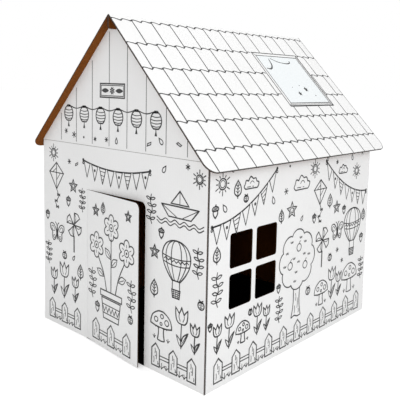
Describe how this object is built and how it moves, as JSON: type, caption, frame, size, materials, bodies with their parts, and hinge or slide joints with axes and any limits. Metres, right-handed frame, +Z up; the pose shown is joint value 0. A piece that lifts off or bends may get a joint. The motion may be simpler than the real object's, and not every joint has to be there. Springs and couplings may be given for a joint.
{
  "type": "cardboard playhouse",
  "caption": "Child's playhouse of folded corrugated board, with a pitched roof, a door flap, a window of square panes and black outline print for colouring.",
  "frame": {"origin": "on the floor, under the middle of the roof", "axes": "+Z up, -Y out of the front gable with the doorway, +X out of the long wall with the window"},
  "size_m": [0.802, 0.942, 0.9986],
  "materials": {
    "white_board": "matt white printed liner, brown kraft inside and at the cut edges",
    "kraft_board": "plain brown kraft liner",
    "black_print": "matt black ink",
    "pale_print": "matt very pale blue-white ink"
  },
  "bodies": {
    "house": {"front_wall_sheet": "white_board", "rear_wall_sheet": "white_board", "roof_right": "white_board", "roof_left": "white_board", "front_print": "black_print", "rear_print": "black_print", "right_print": "black_print", "left_print": "black_print", "roof_right_print": "black_print", "roof_left_print": "black_print", "skylight_pane": "pale_print"},
    "door": {"door": "white_board", "door_print": "black_print"}
  },
  "joints": [
    {"name": "door_fold", "type": "hinge", "parent": "house", "child": "door", "pos_m": [-0.136, -0.444, 0.24], "axis": [0, 0, -1], "range_deg": [-5, 155]}
  ]
}
